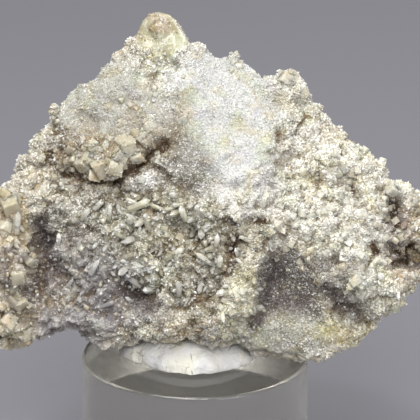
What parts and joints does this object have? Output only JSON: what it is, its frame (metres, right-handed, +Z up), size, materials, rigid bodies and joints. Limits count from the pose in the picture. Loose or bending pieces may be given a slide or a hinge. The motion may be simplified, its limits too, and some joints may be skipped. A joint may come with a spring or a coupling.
{
  "type": "mineral specimen on a display stand",
  "caption": "Wedge-shaped cluster of small cube-like crystals and quartz prisms on matrix, set with white putty on a clear cylindrical stand.",
  "frame": {"origin": "centre of the stand's flat bottom face", "axes": "+Z up along the stand's axis, +X to the right as seen from the front, -Y towards the viewer of the display face"},
  "size_m": [0.0529, 0.027, 0.0574],
  "materials": {
    "crystal_druse": "satin",
    "white_putty": "matte",
    "clear_acrylic": "polished"
  },
  "bodies": {
    "root": {"woodhouseite_rock": "crystal_druse", "mineral_putty": "white_putty", "acrylic_stand": "clear_acrylic"}
  },
  "joints": []
}
